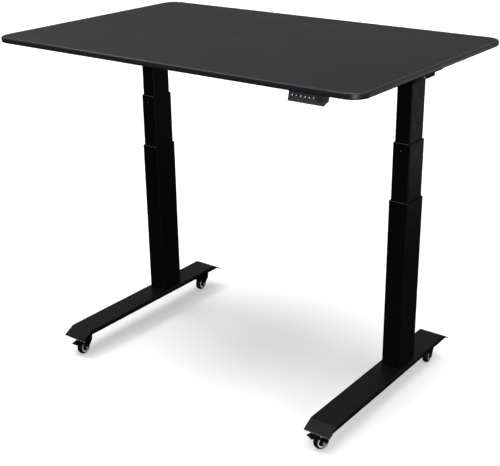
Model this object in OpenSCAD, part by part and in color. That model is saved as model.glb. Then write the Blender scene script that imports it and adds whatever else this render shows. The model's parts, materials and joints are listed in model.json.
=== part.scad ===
// Height adjustable standing desk: two three-stage lifting columns on flat feet with swivel casters.
// Millimetres. +X runs along the desk to the right, -Y is the side where the user stands, +Z is up.
// The origin is on the floor under the middle of the desktop.

/* [Desktop] */
// Width of the desktop, left to right
top_w = 1200; // [1100:5:1400]
// Depth of the desktop, front to back
top_d = 760; // [740:5:800]
// Thickness of the desktop board
top_t = 16; // [16:1:25]
// Radius of the desktop's corners in plan
top_r = 44; // [20:1:60]
// Height of the work surface above the floor
desk_h = 1016; // [696:1:1336]

/* [Columns] */
// Distance of each column's centre from the middle of the desk
col_x = 458; // [430:1:480]
// Distance of the columns behind the middle of the desktop
col_y = 125; // [110:1:130]
// Outside size of the inner (top) tube, left to right
inner_w = 46; // [44:1:46]
// Outside size of the inner (top) tube, front to back
inner_d = 74; // [70:1:74]
// Growth of the outside size from one tube to the next
tube_step = 7; // [6.8:0.1:8]
// Wall thickness of the tubes
tube_wall = 1.5; // [1.2:0.1:1.6]
// Outside corner radius of the tubes
tube_r = 3; // [3:0.5:5]

/* [Feet] */
// Width of the foot channel
foot_w = 82; // [72:1:90]
// Depth of the foot channel's side flanges
foot_side = 14; // [12:1:16]
// Sheet thickness of the foot channel
foot_t = 2.5; // [2:0.1:3]
// Height of the foot's flat top above the floor
foot_h = 89; // [89:0.5:95]
// Front bend of the foot
foot_front = -279; // [-290:1:-270]
// Rear bend of the foot
foot_back = 341; // [335:1:345]
// Length of the sloped lip at each end, measured along the floor
lip_run = 35; // [20:1:38]
// Drop of the sloped lip at each end
lip_drop = 21; // [10:1:24]

/* [Casters] */
// Radius of the caster wheels
wheel_r = 22.5; // [21:0.5:22.5]
// Width of the caster wheels
wheel_w = 18; // [16:1:20]
// Distance of the wheel's centre from the swivel axis
trail = 20; // [18:1:22]
// Swivel axis of the front casters
caster_front = -258; // [-262:1:-254]
// Swivel axis of the rear casters
caster_back = 330; // [320:1:332]

/* [Handset] */
// Middle of the handset from the middle of the desk
handset_x = 458.5; // [300:0.5:480]
// Width of the handset
handset_w = 98; // [98:1:120]
// Distance from one button to the next
button_pitch = 11.6; // [10:0.1:12]
// Radius of the buttons
button_r = 4; // [3:0.1:4.5]

/* [Hidden] */
$fn = 48;
eps = 0.01;

// Clearances
run_gap = 0.05;      // a turning shaft in its bore, on the radius
bolt_gap = 0.1;      // a bolt in its hole, on the radius
glide_gap = 0.15;    // a glide pad to the tube that slides on it

// Heights with the columns fully lowered. The middle stage rises by ext and the top by twice that.
h_low = 696;
ext = (desk_h - h_low) / 2;
middle_len = 506;
inner_len = 522;
outer_len = 511;
base_plate = 8;
outer_top = foot_h + outer_len;
middle_z = foot_h + 12 + ext;
middle_top = middle_z + middle_len;
inner_z = foot_h + 24 + 2 * ext;
inner_top = inner_z + inner_len;
under_z = desk_h - top_t;

// Tube sizes
middle_w = inner_w + tube_step;
middle_d = inner_d + tube_step;
outer_w = inner_w + 2 * tube_step;
outer_d = inner_d + 2 * tube_step;

// Lifting screws
drive_r = 6;
hollow_r = 9.5;
hollow_bore = 6.5;
support_in = 10.5;
support_out = 13;
carrier_in = 14;
carrier_out = 16;
nut_len = 23;
collar_len = 6;
floor_plate = 6;
base_z = foot_h + base_plate;
support_len = 436;
lower_nut_z = base_z + support_len;
carrier_top = middle_top - 25;
hollow_z = middle_z + floor_plate;
drive_z = inner_z - 10;

// Gearbox and motor
plate_t = 5;
plate_z = inner_top;
gearbox_z = plate_z + plate_t;
gearbox_h = 32;
worm_z = gearbox_z + 18;
worm_x = -22;
worm_r = 6;
wheel_gear_r = 15.9;
gear_w = 10;
shaft_r = 4;
motor_r = 17.5;
motor_len = 86;
gearbox_half = 26;
gearbox_out = 28.9;
plate_bolts = [14, 22];

// Motor housing, from the column's centre; +X is outward
box_in = -48;
box_out = 30.4;
box_front = -39;
box_back = 73;
box_rear_end = 123;
box_t = 1.5;
box_z = under_z - 66;
box_rear_z = under_z - 58;

// Frame under the desktop
arm_t = 3;
arm_leg = 32;
arm_h = 40;
arm_front = -250;
arm_back = 330;
arm_screws = [-230, -90, 60, 300];
arm_bolts = [107, 143];
rail_d = 25;
rail_h = 30;
rail_wall = 2;
rail_y = [112, 160];
rail_z = under_z - 38;
rail_end = col_x + box_in;
flange_t = 3;
flange_w = 46;
flange_bolt = 18;
bolt_r = 3;

// Control box
ctrl_x = -150;
ctrl_y = 35;
ctrl_w = 180;
ctrl_d = 90;
ctrl_h = 36;

// Handset: the face leans forward at its bottom edge
face_top_y = -373.5;
face_low_y = -379.5;
handset_back_y = -354;
handset_h = 23;
handset_wall = 2;
face_tilt = atan((face_top_y - face_low_y) / handset_h);
button_down_face = 8.75;
button_x0 = handset_x - 37.5;
button_out = 1;
display_x = handset_x + 26.5;
display_w = 19.5;
display_h = 12;

// Casters: [side, swivel axis y, angle of the trail from straight ahead]
casters = [[-1, caster_front, -5], [1, caster_front, 25], [-1, caster_back, -5], [1, caster_back, -10]];
stem_r = 5;
crown_z = foot_h - 35.9;
crown_h = 12;
crown_r = 15;
race_r = 13;
race_h = 2.2;
leg_t = 2.5;
leg_in = wheel_w / 2 + 1.5;
axle_r = 3;
pedal_pin_y = -trail - 9;
pedal_pin_z = wheel_r + 24;
pedal_pin_r = 1.5;
ring_in = wheel_r - 9.5;
ring_w = 2.5;
head_gap = 0.03;

// ---- shared shapes ----

// Rectangle with round corners, centred
module round_rect(w, d, r) {
    square([w - 2 * r, d], center = true);
    square([w, d - 2 * r], center = true);
    for (x = [-1, 1], y = [-1, 1])
        translate([x * (w / 2 - r), y * (d / 2 - r)]) circle(r);
}

// Rectangular tube with round corners
module tube(w, d, wall, len, r = tube_r) {
    linear_extrude(len) difference() {
        round_rect(w, d, r);
        round_rect(w - 2 * wall, d - 2 * wall, r - wall);
    }
}

// Cylinder along Y or X, starting at the origin
module rod_y(r, len) { rotate([-90, 0, 0]) cylinder(r = r, h = len); }
module rod_x(r, len) { rotate([0, 90, 0]) cylinder(r = r, h = len); }

// Outline in the Y-Z plane, extruded along X about the origin
module yz_plate(points, len) {
    rotate([90, 0, 90]) linear_extrude(len, center = true) polygon(points);
}

// Screw with a pan head: the shank rises from the head's upper face at the origin
module screw_up(r, len, head_r, head_h) {
    translate([0, 0, -head_h / 2]) cylinder(r = r, h = len + head_h / 2);
    translate([0, 0, -head_h]) cylinder(r = head_r, h = head_h);
}

// Places a column's parts: local +X points outward from the middle of the desk
module at_column(side) {
    translate([side * col_x, col_y, 0]) mirror([side < 0 ? 1 : 0, 0, 0]) children();
}

// Places a caster's parts: origin on the swivel axis at floor level, trail towards local -Y
module at_caster(i) {
    translate([casters[i][0] * col_x, casters[i][1], 0]) rotate([0, 0, -casters[i][2]]) children();
}

// Places the handset's parts: origin on the face's top edge, +Y into the case, +Z up the face
module at_face() {
    translate([0, face_top_y, under_z]) rotate([-face_tilt, 0, 0]) children();
}

// ---- desktop and frame ----

module desktop() {
    color([0.14, 0.14, 0.15]) difference() {
        translate([0, 0, under_z]) linear_extrude(top_t) round_rect(top_w, top_d, top_r, $fn = 96);
        for (p = wood_screws()) translate([p[0], p[1], under_z - eps]) cylinder(r = p[2] + bolt_gap, h = 12);
    }
}

// Every wood screw: x, y, shank radius, head height below the board
function wood_screws() = concat(
    [for (side = [-1, 1], y = arm_screws) [side * (col_x + box_out + 20), y, 2.5, arm_t]],
    [for (x = [-1, 1]) [ctrl_x + x * (ctrl_w / 2 + 7), ctrl_y, 2, 3]],
    [for (x = [-1, 1]) [handset_x + x * 36, handset_back_y + 11, 1.75, 3]]);

module desktop_screws() {
    color([0.55, 0.55, 0.57]) for (p = wood_screws())
        translate([p[0], p[1], under_z - p[3]]) screw_up(p[2], p[3] + 11, p[2] * 1.9, 2.5);
}

module side_arm(side) {
    outline = [[arm_front, under_z], [arm_front, under_z - 12], [arm_front + 60, under_z - arm_h],
               [arm_back - 60, under_z - arm_h], [arm_back, under_z - 12], [arm_back, under_z]];
    translate([side * col_x, 0, 0]) mirror([side < 0 ? 1 : 0, 0, 0]) difference() {
        union() {
            translate([box_out + arm_t / 2, 0, 0]) yz_plate(outline, arm_t);
            translate([box_out, arm_front, under_z - arm_t]) cube([arm_leg, arm_back - arm_front, arm_t]);
        }
        for (y = arm_screws) translate([box_out + 20, y, under_z - arm_t - 1])
            cylinder(r = 2.5 + bolt_gap, h = arm_t + 2);
        for (y = arm_bolts) translate([box_out - 1, y, under_z - 20]) rod_x(bolt_r + bolt_gap, arm_t + 2);
    }
}

module side_arms() {
    color([0.06, 0.06, 0.065]) for (side = [-1, 1]) side_arm(side);
}

module cross_rails() {
    color([0.06, 0.06, 0.065]) for (y = rail_y) difference() {
        union() {
            translate([-rail_end + flange_t, y, rail_z + rail_h / 2]) rotate([0, 90, 0])
                tube(rail_h, rail_d, rail_wall, 2 * (rail_end - flange_t), 3);
            for (side = [-1, 1]) translate([side * (rail_end - flange_t / 2), y, rail_z + rail_h / 2])
                cube([flange_t, flange_w, rail_h + 4], center = true);
        }
        for (side = [-1, 1], k = [-1, 1])
            translate([side * (rail_end - flange_t / 2) - 3, y + k * flange_bolt, rail_z + rail_h / 2])
                rod_x(bolt_r + bolt_gap, 6);
        translate([0, y, rail_z + rail_h / 2])
            cube([2 * rail_end + 2, rail_d - 2 * rail_wall - 2, rail_h - 2 * rail_wall - 2], center = true);
    }
}

// Bolts of the arms, rails, gearboxes and tube plates, and the screw low on each motor housing
module frame_bolts() {
    color([0.6, 0.6, 0.62]) for (side = [-1, 1]) {
        for (y = arm_bolts) translate([side * (col_x + box_out), y, under_z - 20])
            rotate([0, side * 90, 0]) mirror([0, 0, 1]) translate([0, 0, -arm_t])
                screw_up(bolt_r, arm_t + box_t + 6, 5, 3);
        for (y = rail_y, k = [-1, 1])
            translate([side * (rail_end - flange_t), y + k * flange_bolt, rail_z + rail_h / 2])
                rotate([0, side * 90, 0]) screw_up(bolt_r, flange_t + 5, 5, 3);
        translate([side * (col_x + box_out), col_y + 13, box_z + 8])
            rotate([0, side * 90, 0]) mirror([0, 0, 1]) screw_up(2, 5, 3.5, 2);
        for (x = [-1, 1], y = [-1, 1])
            translate([side * col_x + x * plate_bolts[0], col_y + y * plate_bolts[1], plate_z])
                screw_up(2.5, plate_t + 7, 4.2, 3);
    }
}

// ---- drive units ----

module motor_housing(side) {
    color([0.07, 0.07, 0.075]) at_column(side) difference() {
        union() {
            translate([box_in, box_front, box_z])
                cube([box_out - box_in, box_back - box_front, under_z - box_z]);
            translate([box_in + 2, box_back - 1, box_rear_z])
                cube([box_out - box_in - 4, box_rear_end - box_back + 1, under_z - box_rear_z]);
        }
        translate([box_in + box_t, box_front + box_t, box_z + box_t])
            cube([box_out - box_in - 2 * box_t, box_back - box_front - 2 * box_t, 100]);
        translate([box_in + 2 + box_t, box_back - 5, box_rear_z + box_t])
            cube([box_out - box_in - 4 - 2 * box_t, box_rear_end - box_back + 5 - box_t, 100]);
        translate([0, 0, box_z - 1]) linear_extrude(box_t + 2)
            round_rect(inner_w + 0.4, inner_d + 0.4, tube_r);
        for (y = arm_bolts) translate([box_out - box_t - 1, y - col_y, under_z - 20])
            rod_x(bolt_r + bolt_gap, box_t + 2);
        for (y = rail_y, k = [-1, 1])
            translate([box_in - 1, y - col_y + k * flange_bolt, rail_z + rail_h / 2])
                rod_x(bolt_r + bolt_gap, box_t + 2);
        translate([box_out - box_t - 1, 13, box_z + 8]) rod_x(2 + bolt_gap, box_t + 2);
    }
}

module motors() {
    color([0.5, 0.5, 0.52]) for (side = [-1, 1]) at_column(side)
        translate([worm_x, gearbox_half, worm_z]) difference() {
            union() {
                rod_y(motor_r, motor_len);
                translate([0, motor_len, 0]) rod_y(8, 4);
            }
            translate([0, -1, 0]) rod_y(shaft_r + run_gap, 61);
        }
}

module gearboxes() {
    color([0.62, 0.62, 0.64]) for (side = [-1, 1]) at_column(side) difference() {
        translate([worm_x - 16, -gearbox_half, gearbox_z])
            cube([gearbox_out + 16 - worm_x, 2 * gearbox_half, gearbox_h]);
        translate([0, 0, worm_z - 7]) cylinder(r = wheel_gear_r + 2, h = 14);
        translate([0, 0, gearbox_z - 1]) cylinder(r = drive_r + run_gap, h = worm_z - gearbox_z + 1);
        for (x = [-1, 1], y = [-1, 1])
            translate([x * plate_bolts[0], y * plate_bolts[1], gearbox_z - 1])
                cylinder(r = 2.5 + bolt_gap, h = 9);
        for (y = arm_bolts) translate([gearbox_out - 8, y - col_y, under_z - 20]) rod_x(bolt_r + bolt_gap, 9);
        translate([0, 0, worm_z]) cylinder(r = 5 + run_gap, h = gearbox_h - 18 - 1);
        translate([worm_x, -20, worm_z]) rod_y(worm_r + 2, 40);
        translate([worm_x, -24, worm_z]) rod_y(shaft_r + run_gap, 60);
    }
}

module worm_shaft(side) {
    color([0.7, 0.7, 0.72]) at_column(side) translate([worm_x, 0, worm_z]) {
        translate([0, -23, 0]) rod_y(shaft_r, 23 + gearbox_half + 59);
        translate([0, -14, 0]) rod_y(worm_r, 28);
    }
}

module worm_wheel(side) {
    color([0.72, 0.58, 0.3]) at_column(side) translate([0, 0, worm_z - gear_w / 2]) difference() {
        cylinder(r = wheel_gear_r, h = gear_w);
        translate([0, 0, -1]) cylinder(r = drive_r + 0.02, h = gear_w + 2);
    }
}

module inner_tube(side) {
    color([0.1, 0.1, 0.105]) at_column(side) {
        translate([0, 0, inner_z]) tube(inner_w, inner_d, tube_wall, inner_len + eps);
        translate([0, 0, plate_z]) difference() {
            translate([worm_x - 16, -inner_d / 2, 0]) cube([inner_w / 2 + 38, inner_d, plate_t]);
            translate([0, 0, -1]) cylinder(r = drive_r + 2, h = plate_t + 2);
            for (x = [-1, 1], y = [-1, 1])
                translate([x * plate_bolts[0], y * plate_bolts[1], -1])
                    cylinder(r = 2.5 + bolt_gap, h = plate_t + 2);
        }
    }
}

// ---- lifting screws and nuts ----

module drive_screw(side) {
    color([0.66, 0.66, 0.68]) at_column(side) {
        translate([0, 0, drive_z]) cylinder(r = drive_r, h = worm_z + 6 - drive_z);
        translate([0, 0, worm_z + 5]) cylinder(r = 5, h = 7);
    }
}

module hollow_screw(side) {
    color([0.6, 0.6, 0.62]) at_column(side) difference() {
        union() {
            translate([0, 0, hollow_z]) cylinder(r = hollow_r, h = carrier_top - 1 - hollow_z);
            translate([0, 0, carrier_top - 1 - collar_len]) cylinder(r = carrier_in - 0.5, h = collar_len);
        }
        translate([0, 0, hollow_z - 1]) cylinder(r = hollow_bore, h = carrier_top - 20 - hollow_z);
        translate([0, 0, hollow_z - 1]) cylinder(r = drive_r + run_gap, h = middle_len);
    }
}

module upper_nut(side) {
    color([0.9, 0.9, 0.86]) at_column(side) translate([0, 0, carrier_top]) difference() {
        cylinder(r = carrier_out, h = nut_len);
        translate([0, 0, -1]) cylinder(r = drive_r + run_gap, h = nut_len + 2);
    }
}

module nut_carrier(side) {
    color([0.45, 0.45, 0.47]) at_column(side) difference() {
        translate([0, 0, hollow_z]) cylinder(r = carrier_out, h = carrier_top - hollow_z);
        translate([0, 0, middle_z]) cylinder(r = carrier_in, h = carrier_top - 19 - middle_z);
        translate([0, 0, middle_z]) cylinder(r = hollow_r + run_gap, h = middle_len);
        translate([0, 0, carrier_top - 1.2 - collar_len]) cylinder(r = carrier_in, h = 20);
    }
}

module lower_nut(side) {
    color([0.9, 0.9, 0.86]) at_column(side) difference() {
        translate([0, 0, base_z]) cylinder(r = support_out, h = support_len + 25);
        translate([0, 0, base_z - 1]) cylinder(r = support_in, h = support_len + 1);
        translate([0, 0, base_z]) cylinder(r = hollow_r + run_gap, h = support_len + 26);
    }
}

module middle_tube(side) {
    color([0.09, 0.09, 0.095]) at_column(side) translate([0, 0, middle_z]) {
        tube(middle_w, middle_d, tube_wall, middle_len);
        difference() {
            linear_extrude(floor_plate) round_rect(middle_w - 1, middle_d - 1, tube_r - 0.5);
            translate([0, 0, -1]) cylinder(r = carrier_in, h = floor_plate + 2);
        }
    }
}

module outer_tube(side) {
    color([0.08, 0.08, 0.085]) at_column(side) translate([0, 0, foot_h]) {
        tube(outer_w, outer_d, tube_wall, outer_len);
        difference() {
            linear_extrude(base_plate) round_rect(outer_w - 1, outer_d - 1, tube_r - 0.5);
            for (x = [-1, 1], y = [-1, 1]) translate([x * 18, y * 30, -1])
                cylinder(r = 4 + bolt_gap, h = base_plate + 2);
        }
    }
}

// A guide sleeve that lines a tube and leaves a sliding gap to the tube inside it
module glide(w, d, z) {
    translate([0, 0, z]) linear_extrude(18) difference() {
        round_rect(w - 2 * tube_wall, d - 2 * tube_wall, tube_r - tube_wall);
        round_rect(w - tube_step + 2 * glide_gap, d - tube_step + 2 * glide_gap, tube_r + glide_gap - 1.4);
    }
}

module middle_glides(side) {
    color([0.2, 0.2, 0.21]) at_column(side)
        for (z = [middle_top - 19, middle_top - 172]) glide(middle_w, middle_d, z);
}

module outer_glides(side) {
    color([0.2, 0.2, 0.21]) at_column(side)
        for (z = [outer_top - 19, outer_top - 165]) glide(outer_w, outer_d, z);
}

// ---- feet ----

module foot(side) {
    low = foot_h - lip_drop;
    tip_front = foot_front - lip_run;
    tip_back = foot_back + lip_run;
    lip_slope = (lip_run - 0.6) / (lip_drop - 0.4);
    flange_end = min((foot_side - foot_t) * lip_slope - 1.2, lip_run - 4);
    web = [[tip_front, low], [foot_front, foot_h], [foot_back, foot_h], [tip_back, low],
           [tip_back - 1.3, low - 2.1], [foot_back - 0.7, foot_h - foot_t],
           [foot_front + 0.7, foot_h - foot_t], [tip_front + 1.3, low - 2.1]];
    flange = [[tip_front, low], [foot_front, foot_h], [foot_back, foot_h], [tip_back, low],
              [tip_back - 1.3, low - 2.1], [foot_back + flange_end, foot_h - foot_side],
              [foot_front - flange_end, foot_h - foot_side], [tip_front + 1.3, low - 2.1]];
    color([0.1, 0.1, 0.105]) translate([side * col_x, 0, 0]) difference() {
        union() {
            yz_plate(web, foot_w);
            for (x = [-1, 1]) translate([x * (foot_w - foot_t) / 2, 0, 0]) yz_plate(flange, foot_t);
            for (y = [caster_front, caster_back]) translate([0, y, foot_h - 10]) cylinder(r = 9, h = 9);
        }
        for (y = [caster_front, caster_back]) translate([0, y, foot_h - 11])
            cylinder(r = stem_r + run_gap, h = 11 - foot_t);
        for (x = [-1, 1], y = [-1, 1]) translate([x * 18, col_y + y * 30, foot_h - 5])
            cylinder(r = 4 + bolt_gap, h = 6);
    }
}

module foot_bolts(side) {
    color([0.55, 0.55, 0.57]) for (x = [-1, 1], y = [-1, 1])
        translate([side * col_x + x * 18, col_y + y * 30, foot_h - foot_t])
            screw_up(4, foot_t + base_plate - 0.5, 7, 4.5);
}

// ---- casters ----

module caster_stems(side) {
    color([0.6, 0.6, 0.62]) for (y = [caster_front, caster_back]) translate([side * col_x, y, 0]) {
        translate([0, 0, crown_z - 2.6]) cylinder(r = stem_r, h = foot_h - foot_t - crown_z + 2.4);
        translate([0, 0, crown_z + crown_h + race_h + 0.2]) cylinder(r = 8.5, h = 10.5, $fn = 6);
        translate([0, 0, crown_z - 2.6]) cylinder(r = 8, h = 2.4);
    }
}

// Side outline of a fork leg: vertical under the crown, then leaning along the trail to the axle
module fork_leg() {
    rotate([90, 0, 90]) linear_extrude(leg_t) {
        polygon([[crown_r - 5, crown_z + 6], [crown_r - 5, crown_z - 6], [crown_r - 7, crown_z - 14],
                 [8 - trail, wheel_r - 5.6],
                 [-trail - 8.2, wheel_r + 2], [pedal_pin_y - 4.5, pedal_pin_z - 4],
                 [pedal_pin_y - 4.5, pedal_pin_z + 3.5], [-crown_r + 1, crown_z + 6]]);
        translate([-trail, wheel_r]) circle(8.5);
    }
}

module caster_fork(i) {
    color([0.05, 0.05, 0.055]) at_caster(i) difference() {
        union() {
            intersection() {
                translate([0, 0, crown_z]) cylinder(r = crown_r, h = crown_h);
                translate([-leg_in - leg_t, -crown_r, crown_z])
                    cube([2 * (leg_in + leg_t), 2 * crown_r, crown_h]);
            }
            translate([0, 0, crown_z]) cylinder(r = race_r, h = crown_h + race_h);
            for (x = [leg_in, -leg_in - leg_t]) translate([x, 0, 0]) fork_leg();
        }
        translate([0, 0, crown_z - 1]) cylinder(r = stem_r + run_gap, h = 20);
        translate([-20, -trail, wheel_r]) rod_x(axle_r + run_gap, 40);
        if (i < 2) translate([-20, pedal_pin_y, pedal_pin_z]) rod_x(pedal_pin_r + run_gap, 40);
    }
    color([0.75, 0.75, 0.77]) at_caster(i) translate([0, -trail, wheel_r]) {
        translate([-leg_in - leg_t - 1, 0, 0]) rod_x(axle_r, 2 * (leg_in + leg_t + 1));
        for (x = [leg_in + leg_t + head_gap, -leg_in - leg_t - head_gap - 3])
            translate([x, 0, 0]) rod_x(5, 3);
    }
}

module caster_wheel(i) {
    half = wheel_w / 2;
    color([0.08, 0.08, 0.085]) at_caster(i) translate([0, -trail, wheel_r]) rotate([0, 90, 0])
        rotate_extrude($fn = 96) {
            difference() {
                translate([axle_r + run_gap, -half]) square([wheel_r - axle_r - run_gap - 3, wheel_w]);
                for (y = [-half - 1, half - 2]) translate([ring_in, y]) square([ring_w, 3]);
            }
            translate([wheel_r - 3 - eps, -half + 3]) square([3 + eps, wheel_w - 6]);
            for (y = [-half + 3, half - 3]) translate([wheel_r - 3, y]) circle(3, $fn = 32);
        }
}

// Brake pedal: the part between the fork legs carries the shoe, the wider pad lies in front of them
module brake_pedal(i) {
    inner = [[3, 2.5], [-2.5, 4], [-8, 4], [-8, 0.5], [-11, -5.5], [-9, -6.5], [-5, -2], [0.5, -2.3],
             [3.5, 0]];
    pad = [[-5.5, 4], [-15, 3.5], [-29, 1], [-28.5, -1.2], [-16, 0.8], [-5.5, 1]];
    color([0.05, 0.05, 0.055]) at_caster(i) {
        translate([0, pedal_pin_y, pedal_pin_z]) {
            yz_plate(inner, 2 * leg_in - 1);
            yz_plate(pad, 2 * leg_in + 5);
        }
        translate([-leg_in - leg_t - 0.5, pedal_pin_y, pedal_pin_z])
            rod_x(pedal_pin_r, 2 * (leg_in + leg_t) + 1);
        for (x = [leg_in + leg_t + head_gap, -leg_in - leg_t - head_gap - 1])
            translate([x, pedal_pin_y, pedal_pin_z]) rod_x(2.4, 1);
    }
}

// ---- control box and handset ----

module control_box() {
    color([0.08, 0.08, 0.085]) difference() {
        union() {
            translate([ctrl_x - ctrl_w / 2, ctrl_y - ctrl_d / 2, under_z - ctrl_h])
                cube([ctrl_w, ctrl_d, ctrl_h]);
            for (x = [-1, 1]) translate([ctrl_x + x * (ctrl_w / 2 + 7) - 8, ctrl_y - 12, under_z - 3])
                cube([16, 24, 3]);
        }
        for (x = [-1, 1]) translate([ctrl_x + x * (ctrl_w / 2 + 7), ctrl_y, under_z - 4])
            cylinder(r = 2 + bolt_gap, h = 5);
        for (x = [-60, -36, -12]) translate([ctrl_x + x - 8, ctrl_y - ctrl_d / 2 - 1, under_z - 26])
            cube([16, 11, 12]);
        translate([ctrl_x + 26, ctrl_y - ctrl_d / 2 - 1, under_z - 30]) cube([28, 17, 20]);
    }
}

module handset_case() {
    w = handset_wall;
    low = under_z - handset_h;
    shell = [[face_top_y, under_z], [face_low_y, low], [handset_back_y - 4, low + 7],
             [handset_back_y, under_z]];
    hollow = [[face_top_y + w, under_z + 1], [face_low_y + w + 0.7, low + w + 0.9],
              [handset_back_y - 4 - w, low + 7 + w], [handset_back_y - w, under_z + 1]];
    color([0.1, 0.1, 0.12]) difference() {
        union() {
            translate([handset_x, 0, 0]) yz_plate(shell, handset_w);
            translate([handset_x - 46, handset_back_y - 1, under_z - 3]) cube([92, 20, 3]);
        }
        translate([handset_x, 0, 0]) yz_plate(hollow, handset_w - 2 * w);
        for (i = [0:5]) at_face() translate([button_x0 + i * button_pitch, -1, -button_down_face])
            rod_y(button_r + 0.15, w + 2);
        at_face() translate([display_x, -1, -16]) cube([display_w, 1.8, display_h]);
        for (x = [-1, 1]) translate([handset_x + x * 36, handset_back_y + 11, under_z - 4])
            cylinder(r = 1.75 + bolt_gap, h = 5);
    }
}

module handset_board() {
    color([0.05, 0.3, 0.15]) at_face() translate([handset_x - handset_w / 2 + handset_wall, 6, -15])
        cube([handset_w - 2 * handset_wall, 1.6, 11.5]);
}

module handset_display() {
    color([0.03, 0.03, 0.04]) at_face() translate([display_x + 0.1, 0, -15.9])
        cube([display_w - 0.2, 0.8, display_h - 0.2]);
}

module button(i) {
    color([0.85, 0.85, 0.88]) at_face() translate([button_x0 + i * button_pitch, 0, -button_down_face]) {
        translate([0, -button_out, 0]) rod_y(button_r, button_out + handset_wall + 0.5);
        translate([0, handset_wall + 0.15, 0]) rod_y(button_r + 0.6, 1);
        translate([0, handset_wall + 1, 0]) rod_y(1.2, 2);
    }
}

// ---- the assembly ----

desktop();
desktop_screws();
side_arms();
cross_rails();
frame_bolts();
motor_housing(-1);  // left_motor_housing
motor_housing(1);  // right_motor_housing
motors();
gearboxes();
inner_tube(-1);  // left_inner_tube
inner_tube(1);  // right_inner_tube
worm_shaft(-1);  // left_worm_shaft
worm_shaft(1);  // right_worm_shaft
worm_wheel(-1);  // left_worm_wheel
worm_wheel(1);  // right_worm_wheel
drive_screw(-1);  // left_drive_screw
drive_screw(1);  // right_drive_screw
hollow_screw(-1);  // left_hollow_screw
hollow_screw(1);  // right_hollow_screw
upper_nut(-1);  // left_upper_nut
upper_nut(1);  // right_upper_nut
nut_carrier(-1);  // left_nut_carrier
nut_carrier(1);  // right_nut_carrier
middle_tube(-1);  // left_middle_tube
middle_tube(1);  // right_middle_tube
middle_glides(-1);  // left_middle_glides
middle_glides(1);  // right_middle_glides
outer_tube(-1);  // left_outer_tube
outer_tube(1);  // right_outer_tube
outer_glides(-1);  // left_outer_glides
outer_glides(1);  // right_outer_glides
lower_nut(-1);  // left_lower_nut
lower_nut(1);  // right_lower_nut
foot(-1);  // left_foot
foot(1);  // right_foot
foot_bolts(-1);  // left_foot_bolts
foot_bolts(1);  // right_foot_bolts
caster_stems(-1);  // left_caster_stems
caster_stems(1);  // right_caster_stems
caster_fork(0);  // front_left_fork
caster_fork(1);  // front_right_fork
caster_fork(2);  // rear_left_fork
caster_fork(3);  // rear_right_fork
caster_wheel(0);  // front_left_wheel
caster_wheel(1);  // front_right_wheel
caster_wheel(2);  // rear_left_wheel
caster_wheel(3);  // rear_right_wheel
brake_pedal(0);  // front_left_brake_pedal
brake_pedal(1);  // front_right_brake_pedal
control_box();
handset_case();
handset_board();
handset_display();
button(0);  // button_memory
button(1);  // button_preset_1
button(2);  // button_preset_2
button(3);  // button_preset_3
button(4);  // button_up
button(5);  // button_down
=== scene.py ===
import json
import math

import bmesh
import bpy
from mathutils import Matrix, Vector


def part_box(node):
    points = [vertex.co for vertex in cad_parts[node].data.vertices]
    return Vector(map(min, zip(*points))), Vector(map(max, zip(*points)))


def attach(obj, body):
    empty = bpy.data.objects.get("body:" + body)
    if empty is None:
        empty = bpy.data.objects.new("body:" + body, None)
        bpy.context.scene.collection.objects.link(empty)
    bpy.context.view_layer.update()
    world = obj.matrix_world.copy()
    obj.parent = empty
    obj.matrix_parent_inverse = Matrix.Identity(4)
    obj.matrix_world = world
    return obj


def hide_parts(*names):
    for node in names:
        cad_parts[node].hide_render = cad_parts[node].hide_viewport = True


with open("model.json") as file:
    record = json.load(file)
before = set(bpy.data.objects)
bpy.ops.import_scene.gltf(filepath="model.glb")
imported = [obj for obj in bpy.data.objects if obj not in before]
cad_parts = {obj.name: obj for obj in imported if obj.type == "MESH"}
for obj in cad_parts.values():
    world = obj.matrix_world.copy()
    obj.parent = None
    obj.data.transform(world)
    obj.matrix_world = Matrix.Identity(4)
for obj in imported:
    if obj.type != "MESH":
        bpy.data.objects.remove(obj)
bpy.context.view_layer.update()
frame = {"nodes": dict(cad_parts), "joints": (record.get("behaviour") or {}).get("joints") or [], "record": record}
nodes = frame["nodes"]
scene = bpy.context.scene
body_of_node = {n: b for b, ns in frame["record"]["behaviour"]["bodies"].items() for n in ns}
joints = {j["name"]: j for j in frame["joints"]}
SIDES = ("left", "right")
CASTERS = ("front_left", "front_right", "rear_left", "rear_right")
BUTTONS = ("button_memory", "button_preset_1", "button_preset_2", "button_preset_3",
           "button_up", "button_down")

# ---- camera: the photograph's position, direction and lens ----

CAM_AT = Vector((1.6532, -2.1586, 1.5373))
CAM_YAW, CAM_PITCH, CAM_ROLL = 0.6412, 0.3850, 0.0104
cam_data = bpy.data.cameras.new("camera")
cam_data.sensor_fit = "HORIZONTAL"
cam_data.sensor_width = 36
cam_data.lens = 70.44
cam_data.shift_x = -0.0179
cam_data.shift_y = -0.0040
cam_data.clip_end = 300
camera = bpy.data.objects.new("camera", cam_data)
scene.collection.objects.link(camera)
ahead = Vector((-math.sin(CAM_YAW) * math.cos(CAM_PITCH), math.cos(CAM_YAW) * math.cos(CAM_PITCH),
                -math.sin(CAM_PITCH)))
right = Vector((math.cos(CAM_YAW), math.sin(CAM_YAW), 0))
down = ahead.cross(right)
right_r = right * math.cos(CAM_ROLL) + down * math.sin(CAM_ROLL)
down_r = down * math.cos(CAM_ROLL) - right * math.sin(CAM_ROLL)
turn = Matrix((right_r, -down_r, -ahead)).transposed()
camera.matrix_world = Matrix.Translation(CAM_AT) @ turn.to_4x4()
scene.camera = camera

# ---- materials ----


def rgb(r, g=None, b=None):
    """sRGB 0-255 to linear RGBA."""
    vals = (r, r if g is None else g, r if b is None else b)
    lin = [((v / 255 + 0.055) / 1.055) ** 2.4 if v > 10 else v / 255 / 12.92 for v in vals]
    return (*lin, 1)


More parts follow.
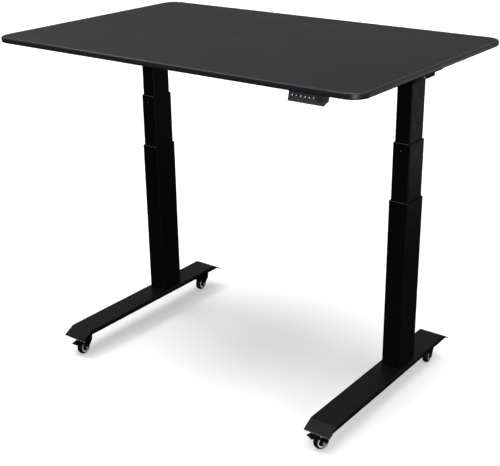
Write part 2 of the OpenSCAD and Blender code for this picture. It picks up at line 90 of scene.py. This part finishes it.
def surface(name, low, high, cloud=8.0, rough=(0.4, 0.5), grain=(900.0, 0.1, 0.0002),
            cells=None, metal=0.0, specular=0.5, coat=0.0, streak=None):
    """A material whose colour, roughness and bump all come from noise in the part's own space.
    grain and cells are (scale, bump strength, bump distance)."""
    mat = bpy.data.materials.new(name)
    mat.use_nodes = True
    tree = mat.node_tree
    out = tree.nodes["Principled BSDF"]
    out.inputs["Metallic"].default_value = metal
    out.inputs["Specular IOR Level"].default_value = specular
    out.inputs["Coat Weight"].default_value = coat
    out.inputs["Coat Roughness"].default_value = 0.15
    link = tree.links.new
    place = tree.nodes.new("ShaderNodeTexCoord").outputs["Object"]
    if streak:
        stretch = tree.nodes.new("ShaderNodeMapping")
        stretch.inputs["Scale"].default_value = streak
        link(place, stretch.inputs["Vector"])
        place = stretch.outputs["Vector"]

    def noise(scale, detail):
        node = tree.nodes.new("ShaderNodeTexNoise")
        node.inputs["Scale"].default_value = scale
        node.inputs["Detail"].default_value = detail
        link(place, node.inputs["Vector"])
        return node.outputs["Fac"]

    cloudy, fine = noise(cloud, 3), noise(grain[0], 4)
    both = tree.nodes.new("ShaderNodeMath")
    both.operation = "MULTIPLY_ADD"
    link(fine, both.inputs[0])
    both.inputs[1].default_value = 0.5
    link(cloudy, both.inputs[2])
    ramp = tree.nodes.new("ShaderNodeValToRGB")
    ramp.color_ramp.elements[0].position, ramp.color_ramp.elements[0].color = 0.55, low
    ramp.color_ramp.elements[1].position, ramp.color_ramp.elements[1].color = 0.95, high
    link(both.outputs[0], ramp.inputs["Fac"])
    link(ramp.outputs["Color"], out.inputs["Base Color"])
    spread = tree.nodes.new("ShaderNodeMapRange")
    spread.inputs["From Min"].default_value, spread.inputs["From Max"].default_value = 0.35, 0.65
    spread.inputs["To Min"].default_value, spread.inputs["To Max"].default_value = rough
    link(noise(cloud * 3.7, 2), spread.inputs["Value"])
    link(spread.outputs["Result"], out.inputs["Roughness"])
    bump = tree.nodes.new("ShaderNodeBump")
    bump.inputs["Strength"].default_value, bump.inputs["Distance"].default_value = grain[1], grain[2]
    link(fine, bump.inputs["Height"])
    normal = bump.outputs["Normal"]
    if cells:
        spots = tree.nodes.new("ShaderNodeTexVoronoi")
        spots.inputs["Scale"].default_value = cells[0]
        link(place, spots.inputs["Vector"])
        dimple = tree.nodes.new("ShaderNodeBump")
        dimple.inputs["Strength"].default_value, dimple.inputs["Distance"].default_value = cells[1:]
        link(spots.outputs["Distance"], dimple.inputs["Height"])
        link(normal, dimple.inputs["Normal"])
        normal = dimple.outputs["Normal"]
    link(normal, out.inputs["Normal"])
    return mat


# Each entry: colour low and high, cloud scale, roughness range, (grain scale, bump strength, depth)
M = {
    "desktop_laminate": surface("laminate", rgb(28, 28, 29), rgb(31, 31, 32), 3, (0.5, 0.54),
                                (1400, 0.15, 0.0002), (620, 0.15, 0.0002), specular=0.2),
    "edge_band": surface("edge_band", rgb(34, 33, 38), rgb(40, 39, 45), 12, (0.3, 0.36), (900, 0.015, 0.0001),
                         specular=0.4),
    "black_frame": surface("frame_coat", rgb(13), rgb(17), 14, (0.5, 0.6), (1600, 0.2, 0.0002),
                           (1100, 0.25, 0.0002), specular=0.12),
    "column_coat": surface("column_coat", rgb(8), rgb(12), 9, (0.36, 0.44), (1900, 0.12, 0.0001),
                           (1500, 0.12, 0.0001), specular=0.14),
    "foot_coat": surface("foot_coat", rgb(14), rgb(18), 9, (0.38, 0.46), (1900, 0.12, 0.0001),
                         (1500, 0.12, 0.0001), specular=0.14),
    # tube_rim_painted_highlight: a light grey painted highlight for the tubes' front top edges
    "tube_rim_painted_highlight": surface("tube_rim_painted_highlight", rgb(150), rgb(185), 60, (0.35, 0.5), (1500, 0.2, 0.0001), metal=0.2),
    # cut_edge_and_highlight: bare cut steel, made near white to paint in a highlight line
    "cut_edge_and_highlight": surface("cut_edge_and_highlight", rgb(236), rgb(250), 60, (0.35, 0.5), (1500, 0.2, 0.0001), metal=0.3),
    "zinc_fastener": surface("zinc", rgb(205), rgb(232), 90, (0.28, 0.42), (2500, 0.15, 0.0001), metal=0.65),
    "glide_steel": surface("glide_steel", rgb(84), rgb(104), 60, (0.4, 0.55), (1500, 0.2, 0.0001), metal=0.4),
    "stem_steel": surface("stem_steel", rgb(34), rgb(44), 60, (0.4, 0.55), (1500, 0.2, 0.0001), metal=0.5),
    "ground_steel": surface("ground_steel", rgb(160), rgb(190), 40, (0.2, 0.35), (900, 0.2, 0.0001),
                            metal=1.0, streak=(1, 1, 12)),
    "motor_can": surface("motor_can", rgb(150), rgb(180), 50, (0.3, 0.45), (1200, 0.15, 0.0001), metal=1.0,
                         streak=(1, 8, 1)),
    "gearbox_cast": surface("cast_alloy", rgb(160), rgb(185), 60, (0.45, 0.6), (900, 0.5, 0.0003), metal=0.9),
    "gear_brass": surface("brass", rgb(190, 160, 90), rgb(210, 180, 110), 60, (0.25, 0.4),
                          (1300, 0.2, 0.0001), metal=1.0),
    "nut_plastic": surface("nut_plastic", rgb(215, 212, 200), rgb(228, 226, 216), 30, (0.4, 0.5),
                           (1200, 0.15, 0.0001)),
    "glide_plastic": surface("glide_plastic", rgb(26), rgb(32), 30, (0.4, 0.5), (1200, 0.15, 0.0001),
                             specular=0.2),
    "caster_fork_coat": surface("fork_coat", rgb(8), rgb(12), 40, (0.34, 0.44), (1800, 0.12, 0.0001),
                                specular=0.2),
    "caster_tread": surface("tread", rgb(10), rgb(15), 60, (0.45, 0.6), (1500, 0.3, 0.0002), specular=0.2),
    "caster_ring": surface("caster_ring", rgb(250), rgb(254), 60, (0.25, 0.35), (1500, 0.1, 0.0001)),
    "pedal_coat": surface("pedal_coat", rgb(8), rgb(12), 40, (0.4, 0.5), (1800, 0.12, 0.0001), specular=0.2),
    "box_plastic": surface("box_plastic", rgb(18), rgb(23), 18, (0.5, 0.6), (1500, 0.35, 0.0003),
                           (900, 0.25, 0.0003), specular=0.2),
    "handset_plastic": surface("handset_plastic", rgb(46, 47, 56), rgb(53, 54, 65), 40, (0.4, 0.5),
                               (2200, 0.25, 0.0002), specular=0.4),
    "board_green": surface("board", rgb(28, 92, 50), rgb(36, 110, 62), 300, (0.35, 0.5), (1500, 0.2, 0.0001)),
    "display_window": surface("display", rgb(20, 18, 30), rgb(26, 23, 38), 40, (0.06, 0.1),
                              (900, 0.01, 0.0001), coat=0.4),
    "button_plastic": surface("button_plastic", rgb(7, 7, 10), rgb(10, 10, 14), 60, (0.4, 0.5),
                              (2200, 0.2, 0.0001), specular=0.3),
    "button_mark": surface("button_mark", rgb(250), rgb(254), 80, (0.4, 0.5), (2200, 0.05, 0.0001)),
}

# ---- mesh tools ----


def finish_mesh(bm, name, body, mats, stands_for=(), smooth=40.0):
    """Turns bm into a shown piece that rides on a body, with crisp flats and smooth rounds."""
    bmesh.ops.recalc_face_normals(bm, faces=bm.faces)
    mesh = bpy.data.meshes.new(name)
    bm.to_mesh(mesh)
    bm.free()
    for m in mats:
        mesh.materials.append(M[m])
    mesh.shade_smooth()
    mesh.set_sharp_from_angle(angle=math.radians(smooth))
    piece = bpy.data.objects.new(name, mesh)
    scene.collection.objects.link(piece)
    even = piece.modifiers.new("even_normals", "WEIGHTED_NORMAL")
    even.keep_sharp = True
    even.weight = 80
    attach(piece, body)
    if stands_for:
        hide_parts(*stands_for)


def node_mesh(node):
    """A CAD node's solids as clean n-gons, in a new bmesh."""
    bm = bmesh.new()
    bm.from_mesh(nodes[node].data)
    bmesh.ops.remove_doubles(bm, verts=bm.verts, dist=1e-6)
    bmesh.ops.dissolve_limit(bm, angle_limit=math.radians(1), verts=bm.verts, edges=bm.edges)
    return bm


def shells(bm):
    """The separate shells of a bmesh, as lists of vertices."""
    left, found = set(bm.verts), []
    while left:
        stack, shell = [left.pop()], []
        while stack:
            v = stack.pop()
            shell.append(v)
            for e in v.link_edges:
                o = e.other_vert(v)
                if o in left:
                    left.remove(o)
                    stack.append(o)
        found.append(shell)
    return found


def soften(bm, width, long_edge=None, long_width=0.0, segments=2):
    """Rounds the sharp edges: the long ones by long_width, then the rest by width."""
    def sharp(test):
        return [e for e in bm.edges if e.is_manifold and e.calc_face_angle(0) > math.radians(35) and test(e)]

    def bevel(edges, size, count):
        bmesh.ops.bevel(bm, geom=edges, offset=size, offset_type="OFFSET", segments=count, profile=0.5,
                        affect="EDGES", clamp_overlap=True)

    if long_edge:
        bevel(sharp(lambda e: e.calc_length() > long_edge), long_width, 4)
    bevel(sharp(lambda e: True), width, segments)


def refined(node, name, slot, width, long_edge=None, long_width=0.0, mat=None):
    """A finely edged copy of a CAD node, which it replaces."""
    bm = node_mesh(node)
    soften(bm, width, long_edge, long_width)
    finish_mesh(bm, name, body_of_node[node], [mat or slot], [node])


def build_tube(side, stage, name):
    """A column tube. The front wall's top edge gets a light grey material that paints in a highlight, on the front
    only.
    """
    node = f"{side}_{stage}_tube"
    lo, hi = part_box(node)
    wall, corner, edge = 0.0015, 0.003, 0.0006
    bm = node_mesh(node)
    soften(bm, 0.0005)
    bmesh.ops.bisect_plane(bm, geom=bm.verts[:] + bm.edges[:] + bm.faces[:], dist=1e-6,
                           plane_co=(0, lo.y + wall, 0), plane_no=(0, 1, 0))
    for face in bm.faces:
        centre = face.calc_center_median()
        between_corners = abs(centre.x - (lo.x + hi.x) / 2) < (hi.x - lo.x) / 2 - corner
        at_front = centre.y < lo.y + wall and between_corners
        # The front top faces get the light grey material: a painted highlight, not a lit edge
        if at_front and centre.z > hi.z - edge and face.normal.z > 0.2:
            face.material_index = 1
    finish_mesh(bm, name, body_of_node[node], ["column_coat", "tube_rim_painted_highlight"], [node])


def ring(bm, points):
    return [bm.verts.new(p) for p in points]


def bridge(bm, a, b, mat=0):
    for i in range(len(a)):
        j = (i + 1) % len(a)
        face = bm.faces.new((a[i], a[j], b[j], b[i]))
        face.material_index = mat


def lathe(bm, at, axis, profile, count=48, closed=False):
    """Turns (radius, height, material) rows round an axis. A row may hold a hexagon's flat radius
    as a fourth value. Ends are capped unless the profile is closed."""
    to_axis = Vector((0, 0, 1)).rotation_difference(Vector(axis)).to_matrix()
    rings = []
    for row in profile:
        points = []
        for i in range(count):
            angle = 2 * math.pi * i / count
            r = row[0]
            if len(row) > 3:
                r = row[0] / math.cos((angle % (math.pi / 3)) - math.pi / 6)
            points.append(Vector(at) + to_axis @ Vector((r * math.cos(angle), r * math.sin(angle), row[1])))
        rings.append(ring(bm, points))
    for k in range(len(rings) - 1):
        bridge(bm, rings[k], rings[k + 1], profile[k][2])
    if closed:
        bridge(bm, rings[-1], rings[0], profile[-1][2])
    else:
        bm.faces.new(rings[0][::-1]).material_index = profile[0][2]
        bm.faces.new(rings[-1]).material_index = profile[-1][2]


def rounded_loop(w, d, r, steps):
    """Points round a rectangle with round corners, centred, anticlockwise."""
    points = []
    for cx, cy, start in ((1, 1, 0), (-1, 1, 90), (-1, -1, 180), (1, -1, 270)):
        for i in range(steps + 1):
            a = math.radians(start + 90 * i / steps)
            points.append((cx * (w / 2 - r) + r * math.cos(a), cy * (d / 2 - r) + r * math.sin(a)))
    return points


# ---- desktop ----


def build_desktop():
    lo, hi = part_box("desktop")
    w, d = hi.x - lo.x, hi.y - lo.y
    mid = (lo + hi) / 2
    corner, ease, lower_ease = 0.044, 0.0042, 0.0045
    bm = bmesh.new()
    levels = [(lower_ease, lo.z)]
    for i in range(1, 6):
        a = math.pi / 2 * i / 5
        levels.append((lower_ease * (1 - math.sin(a)), lo.z + lower_ease * (1 - math.cos(a))))
    for i in range(0, 7):
        a = math.pi / 2 * i / 6
        levels.append((ease * (1 - math.cos(a)), hi.z - ease * (1 - math.sin(a))))
    rings = []
    for inset, z in levels:
        loop = rounded_loop(w - 2 * inset, d - 2 * inset, corner - inset, 24)
        rings.append(ring(bm, [(mid.x + x, mid.y + y, z) for x, y in loop]))
    for k in range(len(rings) - 1):
        bridge(bm, rings[k], rings[k + 1], 1)
    bm.faces.new(rings[0][::-1]).material_index = 0
    seam = 0.0016
    inner = rounded_loop(w - 2 * ease - 2 * seam, d - 2 * ease - 2 * seam, corner - ease - seam, 24)
    inner = ring(bm, [(mid.x + x, mid.y + y, hi.z) for x, y in inner])
    bridge(bm, rings[-1], inner, 1)
    bm.faces.new(inner).material_index = 0
    finish_mesh(bm, "desktop_board", "top", ["desktop_laminate", "edge_band"],
                ["desktop"])


# ---- fasteners ----


def build_fasteners(node, name):
    """Socket screws in place of a CAD node's plain ones: each shell gives one screw's axis and sizes."""
    source = node_mesh(node)
    bm = bmesh.new()
    for shell in shells(source):
        co = [v.co.copy() for v in shell]
        lo = Vector([min(c[i] for c in co) for i in range(3)])
        hi = Vector([max(c[i] for c in co) for i in range(3)])
        size, mid = hi - lo, (lo + hi) / 2
        k = max(range(3), key=lambda i: size[i])  # the screw lies along its longest side
        others = [i for i in range(3) if i != k]

        def radius(c):
            return math.hypot(c[others[0]] - mid[others[0]], c[others[1]] - mid[others[1]])

        head_r = max(radius(c) for c in co)
        shank_r = min(radius(c) for c in co if radius(c) > 1e-4)
        head_side = 1 if max(radius(c) for c in co if c[k] > hi[k] - 1e-5) > head_r - 1e-5 else -1
        end = hi[k] if head_side > 0 else lo[k]
        under = (max if head_side < 0 else min)(c[k] for c in co if radius(c) > head_r - 1e-5)
        head_h = abs(end - under)
        axis = Vector((0, 0, 0))
        axis[k] = head_side
        at = mid.copy()
        at[k] = under
        shank = size[k] - head_h
        socket = min(shank_r * 0.85, head_r * 0.5)
        lathe(bm, at, axis, [
            (shank_r * 0.7, -shank, 0), (shank_r, -shank + shank_r * 0.4, 0), (shank_r, 0, 0),
            (head_r * 0.94, 0, 0), (head_r, head_h * 0.12, 0), (head_r * 0.97, head_h * 0.45, 0),
            (head_r * 0.84, head_h * 0.78, 0),
            (head_r * 0.66, head_h, 0), (socket * 1.12, head_h, 0, 1), (socket, head_h * 0.93, 0, 1),
            (socket, head_h * 0.35, 0, 1)], 24)
    source.free()
    finish_mesh(bm, name, body_of_node[node], ["zinc_fastener"], [node], 35)


# ---- feet ----


def build_foot(side):
    """The pressed channel: a flat top with sloped lips, side flanges that shrink towards the tips, and
    washers at the caster stems. It is built from cross-sections along the foot."""
    node = side + "_foot"
    lo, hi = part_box(node)
    cx = (lo.x + hi.x) / 2
    half = (hi.x - lo.x) / 2
    top, sheet, flange = hi.z, 0.0025, 0.014
    run, drop = 0.035, 0.021
    tip_f, tip_b = lo.y, hi.y
    bend_f, bend_b = tip_f + run, tip_b - run
    low = top - drop
    slope = math.atan2(drop, run)
    fillet = 0.009
    reach = fillet * math.tan(slope / 2)

    def top_z(y):
        s = min(y - bend_f, bend_b - y)
        if s >= reach:
            return top
        if s <= -reach * math.cos(slope):
            return top + s * math.tan(slope)
        return top - fillet + math.sqrt(max(fillet ** 2 - (reach - s) ** 2, 0))

    def flange_z(y):
        s = min(y - tip_f, tip_b - y)
        at_tip, at_flat = 0.0013, 0.017
        z_tip, z_flat = low - 0.0021, top - flange
        t = min(max((s - at_tip) / (at_flat - at_tip), 0), 1)
        return z_tip + (z_flat - z_tip) * t

    ends = [0, 0.002, 0.006, 0.012, 0.017, 0.018, 0.024, 0.029, run - reach * math.cos(slope)]
    ends += [run - reach * math.cos(slope) + (reach + reach * math.cos(slope)) * i / 8 for i in range(1, 9)]
    ends += [run + 0.004, run + 0.008, run + 0.02]
    ys = [tip_f + e for e in ends] + [tip_b - e for e in reversed(ends)]
    bm = bmesh.new()
    rings = []
    for index, y in enumerate(ys):
        zt, zb = top_z(y), flange_z(y)
        s = min(y - bend_f, bend_b - y)
        thick = sheet / (math.cos(slope) if s < 0 else 1)
        zb = min(zb, zt - thick - 0.0003)
        outer = min(0.0035, (zt - zb) * 0.6)
        inner = max(min(outer - 0.001, zt - thick - zb - 0.0002), 0.0001)
        loop = []
        for k in range(7):
            a = math.pi / 2 * k / 6
            loop.append((-half + outer - outer * math.cos(a), zt - outer + outer * math.sin(a)))
        loop = [(-half, zb)] + loop + [(-x, z) for x, z in reversed(loop)] + [(half, zb)]
        inside = []
        for k in range(5):
            a = math.pi / 2 * k / 4
            inside.append((half - sheet - inner + inner * math.cos(a),
                           zt - thick - inner + inner * math.sin(a)))
        loop += [(half - sheet, zb)] + inside + [(-x, z) for x, z in reversed(inside)] + [(-half + sheet, zb)]
        lean = 0.6 if index in (0, len(ys) - 1) else 0
        sign = 1 if index == 0 else -1
        rings.append(ring(bm, [(cx + x, y + sign * lean * (zt - z), z) for x, z in loop]))
    for a, b in zip(rings, rings[1:]):
        bridge(bm, a, b)
    # The cut ends: the outer and inner halves of the section joined by a strip of quads. They are bare cut steel,
    # lightened to near white as a painted highlight.
    for end in (rings[0], rings[-1]):
        last = len(end) - 1
        for i in range(len(end) // 2 - 1):
            face = bm.faces.new((end[i], end[i + 1], end[last - 1 - i], end[last - i]))
            face.material_index = 1
    for name in CASTERS:
        if name.endswith(side):
            at = joints[name + "_swivel"]["pos_m"]
            lathe(bm, (at[0], at[1], top - 0.010), (0, 0, 1), [
                (0.0052, 0, 0), (0.0082, 0, 0), (0.009, 0.0008, 0), (0.009, 0.0068, 0), (0.0104, 0.0078, 0),
                (0.0104, 0.009, 0), (0.0052, 0.009, 0)], 32, closed=True)
    finish_mesh(bm, side + "_foot_channel", side + "_base", ["foot_coat", "cut_edge_and_highlight"],
                [node], 50)


# ---- casters ----


def build_caster(name):
    """The wheel with its bright ring, the fork, and the axle bolt with a washer under each head."""
    wheel, fork = name + "_wheel", name + "_fork"
    spin = joints[name + "_wheel_spin"]
    hub, axis = Vector(spin["pos_m"]), Vector(spin["axis"]).normalized()
    bm = bmesh.new()
    half, tread = 0.009, 0.0225
    rows = [(0.00305, -half + 0.0002, 0), (0.0068, -half + 0.0002, 0), (0.0074, -half + 0.001, 0),
            (0.0076, -half + 0.0024, 0), (0.0118, -half + 0.0024, 0), (0.0122, -half + 0.0006, 1),
            (0.0126, -half + 0.0002, 1), (0.0154, -half + 0.0002, 1), (0.0158, -half + 0.0008, 1),
            (0.0160, -half + 0.0016, 0), (0.0167, -half + 0.0016, 0), (0.0172, -half + 0.0004, 0),
            (0.0184, -half + 0.0001, 0), (0.0196, -half + 0.0008, 0), (0.0210, -half + 0.0022, 0),
            (0.0219, -half + 0.0038, 0), (0.0223, -half + 0.0056, 0), (0.0221, -0.0030, 0),
            (0.02235, -0.0026, 0), (tread - 0.00005, -0.0010, 0)]
    rows += [(r, -z, m) for r, z, m in reversed(rows)]
    mats = [rows[k][2] if rows[k][2] == rows[(k + 1) % len(rows)][2] else 0 for k in range(len(rows))]
    lathe(bm, hub, axis, [(r, z, m) for (r, z, _), m in zip(rows, mats)], 72, closed=True)
    finish_mesh(bm, name + "_roller_wheel", name + "_roller",
                ["caster_tread", "caster_ring"], [wheel], 40)

    bm = node_mesh(fork)
    bolt_top = 0.040  # the axle bolt's shells end below this height, the fork does not
    for shell in shells(bm):
        if max(v.co.z for v in shell) < bolt_top:
            bmesh.ops.delete(bm, geom=shell, context="VERTS")
    soften(bm, 0.0005)
    finish_mesh(bm, name + "_fork_body", name + "_swivel", ["caster_fork_coat"],
                [fork], 40)
    bm = bmesh.new()
    leg, head = 0.013, 0.003
    lathe(bm, hub - axis * leg, axis, [
        (0.0018, -head, 0), (0.0030, -head, 0, 1), (0.0033, -head + 0.0004, 0, 1), (0.0033, -0.0009, 1, 1),
        (0.0054, -0.0009, 1), (0.0054, -0.00005, 0), (0.003, -0.00005, 0), (0.003, 2 * leg + 0.00005, 1),
        (0.0054, 2 * leg + 0.00005, 1), (0.0054, 2 * leg + 0.0009, 1), (0.0033, 2 * leg + 0.0009, 0, 1),
        (0.0033, 2 * leg + head - 0.0004, 0, 1), (0.0030, 2 * leg + head, 0, 1),
        (0.0018, 2 * leg + head, 0)], 36)
    finish_mesh(bm, name + "_axle_bolt", name + "_swivel",
                ["zinc_fastener", "caster_fork_coat"], (), 35)


def build_pedal(name):
    """The pressed pedal, with the ends of its pin as bright rivets."""
    node = name + "_brake_pedal"
    refined(node, name + "_pedal_pad", "pedal_coat", 0.0005)
    press = joints[name + "_brake_press"]
    at, axis = Vector(press["pos_m"]), Vector(press["axis"]).normalized()
    for sign, tag in ((-1, "inner"), (1, "outer")):
        bm = bmesh.new()
        out = axis * sign
        lathe(bm, at + out * 0.01385, out, [
            (0.0021, 0, 0), (0.0028, 0.0001, 0), (0.0028, 0.0005, 0), (0.0024, 0.0011, 0),
            (0.0014, 0.0015, 0), (0.0005, 0.0016, 0)], 28)
        finish_mesh(bm, f"{name}_rivet_{tag}", name + "_brake", ["zinc_fastener"])


def build_glide_screw(side):
    """The small flush screw that holds the upper glide, on the middle tube's front face. It stands
    out less than the sliding gap, so that it passes the outer glide."""
    lo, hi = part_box(side + "_middle_tube")
    at = Vector(((lo.x + hi.x) / 2 - 0.001, lo.y, hi.z - 0.021))
    bm = bmesh.new()
    lathe(bm, at, (0, -1, 0), [
        (0.0020, -0.0008, 0), (0.0026, -0.0002, 0), (0.0026, 0.00005, 0), (0.0025, 0.0001, 0),
        (0.0011, 0.0001, 0, 1), (0.0010, 0.00004, 0, 1)], 24)
    finish_mesh(bm, side + "_glide_screw", side + "_middle_stage", ["glide_steel"])


# ---- handset ----


def stamp(bm, at, press, shape):
    """A thin raised mark on a key: shape is a list of outlines in mm, x to the right and y up the face."""
    along = Vector((1, 0, 0))
    up = along.cross(press)
    lift = 0.00012
    for outline in shape:
        low = ring(bm, [at + (along * x + up * y) * 0.001 + press * lift for x, y in outline])
        high = ring(bm, [at + (along * x + up * y) * 0.001 - press * lift for x, y in outline])
        bridge(bm, low, high, 1)
        bm.faces.new(low[::-1]).material_index = 1
        bm.faces.new(high).material_index = 1


def bar(x0, y0, x1, y1):
    return [(x0, y0), (x1, y0), (x1, y1), (x0, y1)]


MARKS = {
    "button_memory": [[(1.7 * math.cos(math.pi * k / 8), 1.7 * math.sin(math.pi * k / 8))
                       for k in range(16)]],
    "button_preset_1": [bar(-0.5, -2.1, 0.5, 2.1), bar(-1.4, 1.1, -0.5, 1.9)],
    "button_preset_2": [bar(-1.5, 1.2, 1.5, 2.1), bar(0.6, 0.45, 1.5, 1.2), bar(-1.5, -0.45, 1.5, 0.45),
                        bar(-1.5, -1.2, -0.6, -0.45), bar(-1.5, -2.1, 1.5, -1.2)],
    "button_preset_3": [bar(-1.5, 1.2, 1.5, 2.1), bar(0.6, -1.2, 1.5, 1.2), bar(-1.1, -0.45, 0.6, 0.45),
                        bar(-1.5, -2.1, 1.5, -1.2)],
    "button_up": [[(-2.2, -1.5), (2.2, -1.5), (0.0, 2.1)]],
    "button_down": [[(-2.2, 1.5), (0.0, -2.1), (2.2, 1.5)]],
}


def build_handset():
    """The case, and a round key with its mark for each CAD button."""
    refined("handset_case", "handset_body", "handset_plastic", 0.0003, 0.015, 0.0009)
    press = Vector(joints["button_up_press"]["axis"]).normalized()
    for name in BUTTONS:
        lo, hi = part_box(name)
        centre = (lo + hi) / 2
        co = [v.co for v in nodes[name].data.vertices]
        front = min(c.dot(press) for c in co)
        face = centre + press * (front - centre.dot(press))
        length = max(c.dot(press) for c in co) - front
        bm = bmesh.new()
        r = 0.0039
        lathe(bm, face, press, [
            (r * 0.80, 0.0002, 0), (r * 0.93, 0.00035, 0), (r, 0.0008, 0), (r, 0.0031, 0),
            (r + 0.0006, 0.0032, 0), (r + 0.0006, 0.0041, 0), (0.0012, 0.0041, 0), (0.0012, length, 0)], 40)
        stamp(bm, face + press * 0.0002, press, MARKS[name])
        finish_mesh(bm, name + "_key", body_of_node[name],
                    ["button_plastic", "button_mark"], [name], 40)


# ---- the rest of the frame ----

build_desktop()
for side in SIDES:
    build_foot(side)
    build_tube(side, "outer", side + "_outer_column")
    build_tube(side, "middle", side + "_middle_column")
    refined(side + "_inner_tube", side + "_inner_column", "column_coat", 0.0004)
    refined(side + "_motor_housing", side + "_motor_cover", "black_frame", 0.0004, 0.03, 0.0007)
    for part in ("outer_glides", "middle_glides"):
        refined(f"{side}_{part}", f"{side}_{part}_lip", "glide_plastic", 0.0002)
    refined(side + "_caster_stems", side + "_stem_nuts", "zinc_fastener", 0.0003, mat="stem_steel")
    build_fasteners(side + "_foot_bolts", side + "_foot_socket_bolts")
for caster in CASTERS:
    build_caster(caster)
for name in ("front_left", "front_right"):
    build_pedal(name)
for side in SIDES:
    build_glide_screw(side)
build_handset()
refined("side_arms", "desk_side_arms", "black_frame", 0.0004, 0.05, 0.0006)
refined("cross_rails", "desk_cross_rails", "black_frame", 0.0004, 0.05, 0.0006)
refined("control_box", "control_box_case", "box_plastic", 0.0004, 0.025, 0.0016)
build_fasteners("frame_bolts", "frame_socket_bolts")
build_fasteners("desktop_screws", "desktop_socket_screws")

# ---- carried CAD nodes: their own material slots ----

slots = {s["node"]: s["material_slot"] for s in frame["record"]["subparts"]}
for name, obj in nodes.items():
    obj.data.materials.clear()
    obj.data.materials.append(M[slots[name]])

# ---- floor and light ----


def staged_mesh(name, points, faces, paint, glow):
    """A pale surface that gives off some light of its own and stays out of reflections."""
    mesh = bpy.data.meshes.new(name)
    mesh.from_pydata(points, [], faces)
    coat = paint.node_tree.nodes["Principled BSDF"].inputs
    coat["Emission Color"].default_value = (1, 1, 1, 1)
    coat["Emission Strength"].default_value = glow
    mesh.materials.append(paint)
    obj = bpy.data.objects.new(name, mesh)
    scene.collection.objects.link(obj)
    obj.visible_glossy = False
    obj.visible_diffuse = False
    return obj


PALE, PALER = (0.86, 0.86, 0.86, 1), (0.9, 0.9, 0.9, 1)
FLOOR, FLOOR_Z = 90, -0.0003
floor = staged_mesh("floor", [(-FLOOR, -FLOOR, FLOOR_Z), (FLOOR, -FLOOR, FLOOR_Z), (FLOOR, FLOOR, FLOOR_Z),
                              (-FLOOR, FLOOR, FLOOR_Z)], [(0, 1, 2, 3)],
                    surface("floor_paint", PALE, PALER, 2, (0.8, 0.9), (60, 0.02, 0.001), specular=0.05),
                    0.35)

# A pale wall far behind the floor, so that a low view has no dark horizon
WALL_R, WALL_H, WALL_N = 45, 40, 96
wall_xy = [(WALL_R * math.cos(2 * math.pi * k / WALL_N), WALL_R * math.sin(2 * math.pi * k / WALL_N))
           for k in range(WALL_N)]
backdrop = staged_mesh("backdrop", [(x, y, -1) for x, y in wall_xy] + [(x, y, WALL_H) for x, y in wall_xy],
                       [(k, (k + 1) % WALL_N, WALL_N + (k + 1) % WALL_N, WALL_N + k) for k in range(WALL_N)],
                       surface("backdrop_paint", PALE, PALER, 0.05, (0.8, 0.9), (2, 0.01, 0.001),
                               specular=0.05), 1.0)
backdrop.visible_shadow = False

world = bpy.data.worlds.new("studio")
world.use_nodes = True
scene.world = world
wt = world.node_tree
back = wt.nodes["Background"]
heading = wt.nodes.new("ShaderNodeTexCoord")
split = wt.nodes.new("ShaderNodeSeparateXYZ")
wt.links.new(heading.outputs["Generated"], split.inputs["Vector"])
half_up = wt.nodes.new("ShaderNodeMath")
half_up.operation = "MULTIPLY_ADD"
half_up.inputs[1].default_value = half_up.inputs[2].default_value = 0.5
wt.links.new(split.outputs["Z"], half_up.inputs[0])
sky = wt.nodes.new("ShaderNodeValToRGB")
SKY_STRENGTH = 2.0
stops = [(0.0, 0.015), (0.47, 0.02), (0.52, 0.3), (0.72, 0.26), (0.88, 0.42), (1.0, 0.85)]
for k, (spot, value) in enumerate(stops):
    stop = sky.color_ramp.elements[k] if k < 2 else sky.color_ramp.elements.new(spot)
    stop.position, stop.color = spot, (*[value / SKY_STRENGTH] * 3, 1)
wt.links.new(half_up.outputs[0], sky.inputs["Fac"])
wt.links.new(sky.outputs["Color"], back.inputs["Color"])
back.inputs["Strength"].default_value = SKY_STRENGTH


def softbox(name, at, aim, size, power):
    light = bpy.data.lights.new(name, "AREA")
    light.shape = "RECTANGLE"
    light.size, light.size_y = size
    light.energy = power
    obj = bpy.data.objects.new(name, light)
    scene.collection.objects.link(obj)
    obj.location = at
    obj.rotation_euler = (Vector(aim) - Vector(at)).to_track_quat("-Z", "Y").to_euler()
    obj.visible_camera = False


def overhead(name, lean_x, lean_y):
    """A wide overhead light. The leans are how far a shadow moves per metre of height."""
    sun = bpy.data.lights.new(name, "SUN")
    sun.energy = 1.15
    sun.angle = math.radians(36)
    obj = bpy.data.objects.new(name, sun)
    scene.collection.objects.link(obj)
    obj.rotation_euler = Vector((lean_x, lean_y, -1)).to_track_quat("-Z", "Y").to_euler()


overhead("overhead_left", -0.27, 0.13)
overhead("overhead_right", 0.22, 0.12)
softbox("front_key", (3.1, -2.3, 1.1), (0.2, -0.1, 0.35), (1.3, 1.3), 36)
softbox("low_card", (2.3, -2.4, 0.3), (0.3, -0.1, 0.03), (1.1, 0.25), 14)
softbox("edge_strip", (-0.55, -0.8, 1.74), (0.0, -0.38, 1.01), (1.7, 0.16), 4.5)
softbox("side_card", (1.2, 1.25, 0.52), (0.49, 0.12, 0.75), (0.6, 0.6), 0.8)
scene.view_settings.view_transform = "Standard"
scene.view_settings.look = "None"
